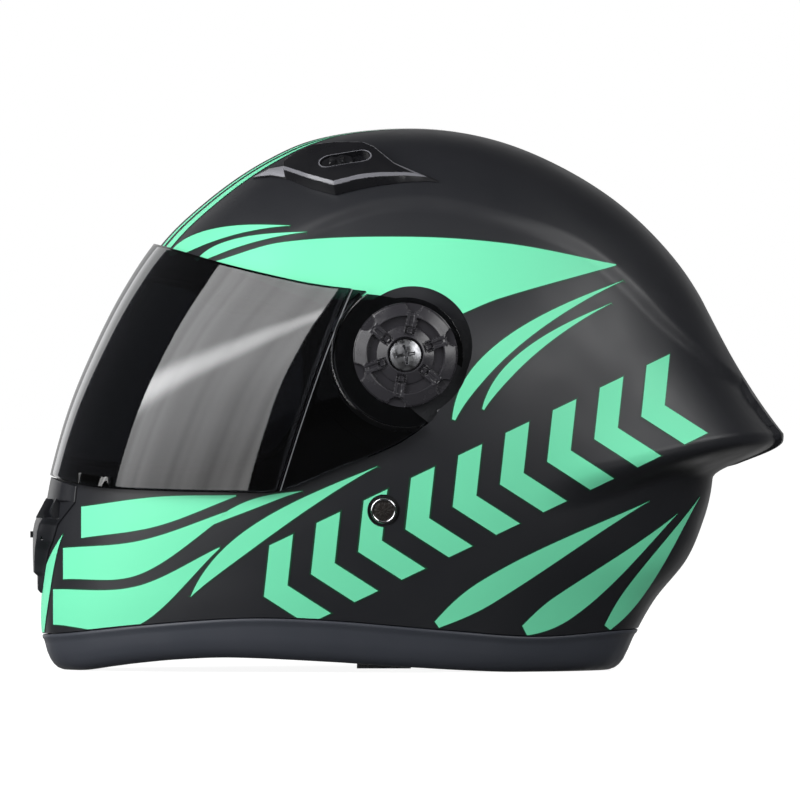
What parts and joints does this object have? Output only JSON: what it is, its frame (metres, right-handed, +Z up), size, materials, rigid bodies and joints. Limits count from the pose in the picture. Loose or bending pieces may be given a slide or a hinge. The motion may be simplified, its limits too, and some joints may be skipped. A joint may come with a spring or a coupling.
{
  "type": "full face motorcycle helmet",
  "caption": "Full face motorcycle helmet with a hinged smoked visor, sliding roof and chin vents, padded lining and a buckled chin strap.",
  "frame": {"origin": "middle of the helmet's length and width, in the plane of the rim's lowest points, on which it rests", "axes": "-X to the front of the helmet, -Y to the wearer's left, +Z up to the crown"},
  "size_m": [0.3653, 0.2554, 0.262],
  "materials": {
    "shell": "satin charcoal lacquer with mint green stripes",
    "rim": "satin",
    "gasket": "matte",
    "liner_foam": "expanded foam under a thin cloth, matte",
    "lining": "knitted",
    "black_plastic": "satin",
    "cover": "gloss, smoke grey",
    "visor": "gloss, dark smoke",
    "brushed_metal": "brushed",
    "small_metal": "zinc plated",
    "chrome": "polished",
    "webbing": "woven",
    "lever": "gloss red"
  },
  "bodies": {
    "helmet": {"outer_shell": "shell", "edge_trim": "rim", "eyeport_gasket": "gasket", "impact_liner": "liner_foam", "crown_pad": "lining", "chin_liner": "liner_foam", "cheek_pad_left": "lining", "cheek_pad_right": "lining", "cheek_pad_studs": "small_metal", "neck_roll": "lining", "breath_guard": "gasket", "base_plate_left": "black_plastic", "base_plate_right": "black_plastic", "base_plate_screws": "small_metal", "side_cover_left": "cover", "side_cover_right": "cover", "pivot_screw_left": "brushed_metal", "pivot_screw_right": "brushed_metal", "pivot_nuts": "small_metal", "roof_scoop_left": "black_plastic", "roof_scoop_right": "black_plastic", "chin_vent_cover": "black_plastic", "chin_vent_mesh": "black_plastic", "strap_rivets": "chrome", "rivet_caps": "black_plastic", "rivet_washers": "small_metal", "strap_left": "webbing", "strap_right": "webbing", "buckle_frame": "brushed_metal", "buckle_pin": "chrome", "buckle_tongue": "brushed_metal"},
    "visor": {"visor": "visor"},
    "scoop_slider_left": {"scoop_slider_left": "black_plastic"},
    "scoop_slider_right": {"scoop_slider_right": "black_plastic"},
    "chin_vent_shutter": {"chin_vent_shutter": "black_plastic"},
    "buckle_lever": {"buckle_lever": "lever"}
  },
  "joints": [
    {"name": "visor_hinge", "type": "hinge", "parent": "helmet", "child": "visor", "pos_m": [-0.001, 0, 0.152], "axis": [0, 1, 0], "range_deg": [0, 50]},
    {"name": "scoop_slide_left", "type": "slide", "parent": "helmet", "child": "scoop_slider_left", "axis": [0.9817, -0.1042, 0.1592], "range_m": [0, 0.008]},
    {"name": "scoop_slide_right", "type": "slide", "parent": "helmet", "child": "scoop_slider_right", "axis": [0.9817, 0.1042, 0.1592], "range_m": [0, 0.008]},
    {"name": "chin_vent_slide", "type": "slide", "parent": "helmet", "child": "chin_vent_shutter", "axis": [0, 0, 1], "range_m": [0, 0.009]},
    {"name": "buckle_lever_hinge", "type": "hinge", "parent": "helmet", "child": "buckle_lever", "pos_m": [-0.0114, -0.034, 0.0078], "axis": [1, 0, 0], "range_deg": [0, 30], "stiffness_Nm_per_rad": 0.02, "springref_deg": -11.46}
  ]
}
